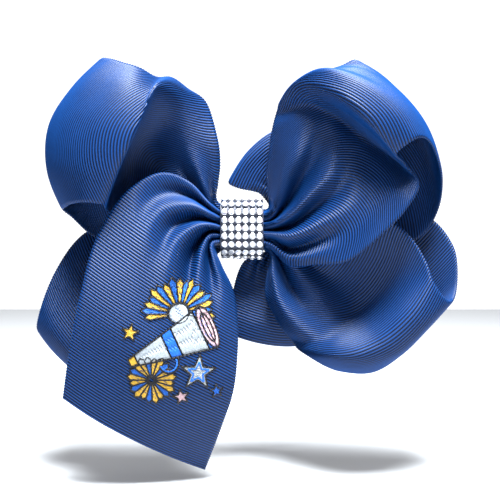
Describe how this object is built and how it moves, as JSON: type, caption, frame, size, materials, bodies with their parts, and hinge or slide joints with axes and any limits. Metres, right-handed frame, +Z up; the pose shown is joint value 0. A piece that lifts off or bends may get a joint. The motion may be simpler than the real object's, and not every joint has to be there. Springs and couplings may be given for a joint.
{
  "type": "hair bow clip",
  "caption": "Large looped grosgrain cheer bow with an embroidered tail and a rhinestone knot, on a sprung alligator clip.",
  "frame": {"origin": "point in the clip's gripping plane in line with the centre of the knot", "axes": "+X along the clip towards its hinge, +Z up, the bow faces -Y and the hair lies at the clip on the +Y side"},
  "size_m": [0.1922, 0.0673, 0.1853],
  "materials": {
    "ribbon": "ribbed grosgrain weave",
    "embroidery_thread": "satin stitch thread",
    "tie": "moulded",
    "mesh": "dark net",
    "setting_metal": "silver plated",
    "stone": "cut crystal",
    "glue": "hot melt",
    "clip_metal": "nickel plated",
    "spring_steel": "drawn wire",
    "lining_ribbon": "ribbed weave",
    "grip_rubber": "matte silicone"
  },
  "bodies": {
    "bow": {"front_tail": "ribbon", "upper_left_loop": "ribbon", "lower_left_loop": "ribbon", "upper_right_loop": "ribbon", "lower_right_loop": "ribbon", "rear_upper_loop": "ribbon", "rear_lower_loop": "ribbon", "embroidery": "embroidery_thread", "inner_tie": "tie", "knot_wrap": "ribbon", "stone_mesh": "mesh", "stone_settings": "setting_metal", "rhinestones": "stone", "glue_pad": "glue", "root_glue": "glue", "clip_fixed_arm": "clip_metal", "pivot_pin": "clip_metal", "jaw_spring": "spring_steel", "clip_lining": "lining_ribbon"},
    "jaw": {"clip_moving_jaw": "clip_metal", "grip_strip": "grip_rubber"}
  },
  "joints": [
    {"name": "jaw_hinge", "type": "hinge", "parent": "bow", "child": "jaw", "pos_m": [0.015, 0, 0], "axis": [0, 0, -1], "range_deg": [0, 30], "stiffness_Nm_per_rad": 0.03, "springref_deg": -22.92, "deforming": ["jaw_spring"]}
  ]
}
